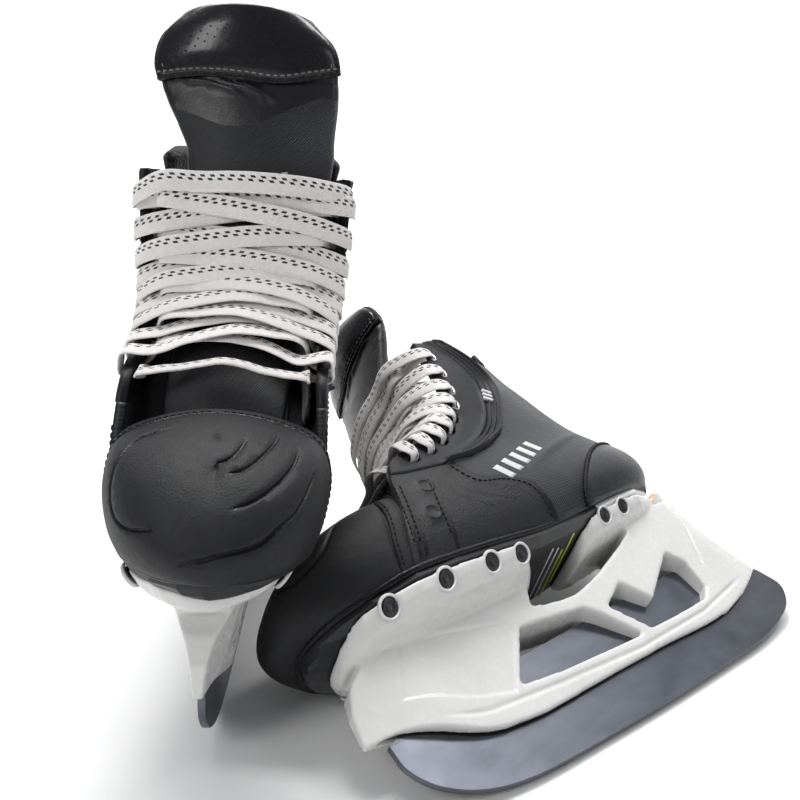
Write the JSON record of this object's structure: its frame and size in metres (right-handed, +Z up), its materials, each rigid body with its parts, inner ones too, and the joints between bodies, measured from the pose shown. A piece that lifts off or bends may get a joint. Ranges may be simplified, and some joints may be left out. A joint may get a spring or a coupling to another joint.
{
  "type": "ice hockey skates",
  "caption": "Ice hockey skates with stiff lace-up boots, padded ankle collars, plastic blade holders and steel runners that unlatch at the heel.",
  "frame": {"origin": "on the floor under the middle of the pair's bounding box", "axes": "+X runs from the standing right skate towards the lying left one, +Y runs towards the standing skate's heel, +Z up"},
  "size_m": [0.3768, 0.3256, 0.316],
  "materials": {
    "toe_cap": "fine-grained matte",
    "quarter_shell": "satin woven composite",
    "eyestay": "matte",
    "heel_counter": "gloss composite",
    "liner": "soft mesh",
    "tendon_guard": "matte",
    "outsole": "satin",
    "heel_wedge": "satin white",
    "footbed": "matte felt",
    "tongue_lower": "satin",
    "tongue_top": "satin",
    "holder": "gloss white",
    "blade": "mirror-ground",
    "lock_hook": "satin",
    "release_bolt": "copper plated",
    "lace": "waxed cotton",
    "rivet": "dark satin"
  },
  "bodies": {
    "left_skate": {"left_toe_cap": "toe_cap", "left_quarter_shell": "quarter_shell", "left_eyestay_lateral": "eyestay", "left_eyestay_medial": "eyestay", "left_heel_counter": "heel_counter", "left_liner": "liner", "left_outsole": "outsole", "left_heel_wedge": "heel_wedge", "left_footbed": "footbed", "left_tongue_lower": "tongue_lower", "left_holder": "holder", "left_lace": "lace", "left_front_rivet_1_lateral": "rivet", "left_front_rivet_1_medial": "rivet", "left_front_rivet_2_lateral": "rivet", "left_front_rivet_2_medial": "rivet", "left_front_rivet_3_lateral": "rivet", "left_front_rivet_3_medial": "rivet", "left_front_rivet_4_lateral": "rivet", "left_front_rivet_4_medial": "rivet", "left_rear_rivet_1_lateral": "rivet", "left_rear_rivet_1_medial": "rivet", "left_rear_rivet_2_lateral": "rivet", "left_rear_rivet_2_medial": "rivet"},
    "left_runner": {"left_blade": "blade"},
    "left_lock": {"left_lock_hook": "lock_hook"},
    "left_bolt": {"left_release_bolt": "release_bolt"},
    "left_tongue_flap": {"left_tongue_top": "tongue_top"},
    "left_guard": {"left_tendon_guard": "tendon_guard"},
    "right_skate": {"right_toe_cap": "toe_cap", "right_quarter_shell": "quarter_shell", "right_eyestay_lateral": "eyestay", "right_eyestay_medial": "eyestay", "right_heel_counter": "heel_counter", "right_liner": "liner", "right_outsole": "outsole", "right_heel_wedge": "heel_wedge", "right_footbed": "footbed", "right_tongue_lower": "tongue_lower", "right_holder": "holder", "right_lace": "lace", "right_front_rivet_1_lateral": "rivet", "right_front_rivet_1_medial": "rivet", "right_front_rivet_2_lateral": "rivet", "right_front_rivet_2_medial": "rivet", "right_front_rivet_3_lateral": "rivet", "right_front_rivet_3_medial": "rivet", "right_front_rivet_4_lateral": "rivet", "right_front_rivet_4_medial": "rivet", "right_rear_rivet_1_lateral": "rivet", "right_rear_rivet_1_medial": "rivet", "right_rear_rivet_2_lateral": "rivet", "right_rear_rivet_2_medial": "rivet"},
    "right_runner": {"right_blade": "blade"},
    "right_lock": {"right_lock_hook": "lock_hook"},
    "right_bolt": {"right_release_bolt": "release_bolt"},
    "right_tongue_flap": {"right_tongue_top": "tongue_top"},
    "right_guard": {"right_tendon_guard": "tendon_guard"}
  },
  "joints": [
    {"name": "left_bolt_turn", "type": "hinge", "parent": "left_skate", "child": "left_bolt", "pos_m": [0.12191, 0.08041, 0.04749], "axis": [0.1696, 0.9441, 0.2825], "range_deg": [0, 270]},
    {"name": "left_lock_slide", "type": "slide", "parent": "left_skate", "child": "left_lock", "axis": [-0.1696, -0.9441, -0.2825], "range_m": [0, 0.0066]},
    {"name": "left_runner_drop", "type": "hinge", "parent": "left_skate", "child": "left_runner", "pos_m": [-0.04578, -0.14109, 0.01658], "axis": [-0.2526, 0.3188, -0.9135], "range_deg": [0, 1]},
    {"name": "left_tongue_flex", "type": "hinge", "parent": "left_skate", "child": "left_tongue_flap", "pos_m": [-0.07018, 0.08611, 0.1026], "axis": [0.2526, -0.3188, 0.9135], "range_deg": [-12, 18], "stiffness_Nm_per_rad": 0.8},
    {"name": "left_guard_flex", "type": "hinge", "parent": "left_skate", "child": "left_guard", "pos_m": [0.01009, 0.141, 0.09955], "axis": [-0.2526, 0.3188, -0.9135], "range_deg": [-4, 20], "stiffness_Nm_per_rad": 0.8},
    {"name": "right_bolt_turn", "type": "hinge", "parent": "right_skate", "child": "right_bolt", "pos_m": [-0.14619, 0.13048, 0.11], "axis": [-0.0664, 0.7163, 0.6947], "range_deg": [0, 270]},
    {"name": "right_lock_slide", "type": "slide", "parent": "right_skate", "child": "right_lock", "axis": [0.0664, -0.7163, -0.6947], "range_m": [0, 0.0066]},
    {"name": "right_runner_drop", "type": "hinge", "parent": "right_skate", "child": "right_runner", "pos_m": [-0.12134, -0.13737, 0.034], "axis": [-0.9957, -0.0924, 0], "range_deg": [0, 1]},
    {"name": "right_tongue_flex", "type": "hinge", "parent": "right_skate", "child": "right_tongue_flap", "pos_m": [-0.13261, -0.01589, 0.2455], "axis": [0.9957, 0.0924, 0], "range_deg": [-12, 18], "stiffness_Nm_per_rad": 0.8},
    {"name": "right_guard_flex", "type": "hinge", "parent": "right_skate", "child": "right_guard", "pos_m": [-0.14157, 0.08069, 0.238], "axis": [-0.9957, -0.0924, 0], "range_deg": [-4, 20], "stiffness_Nm_per_rad": 0.8},
    {"name": "right_skate_lift", "type": "slide", "parent": "left_skate", "child": "right_skate", "axis": [0, 0, 1], "range_m": [0, 0.4]}
  ],
  "couplings": [
    {"joint": "left_lock_slide", "follows": "left_runner_drop", "m_per_rad": 0.37242},
    {"joint": "left_bolt_turn", "follows": "left_runner_drop", "ratio": 270},
    {"joint": "right_lock_slide", "follows": "right_runner_drop", "m_per_rad": 0.37242},
    {"joint": "right_bolt_turn", "follows": "right_runner_drop", "ratio": 270}
  ]
}
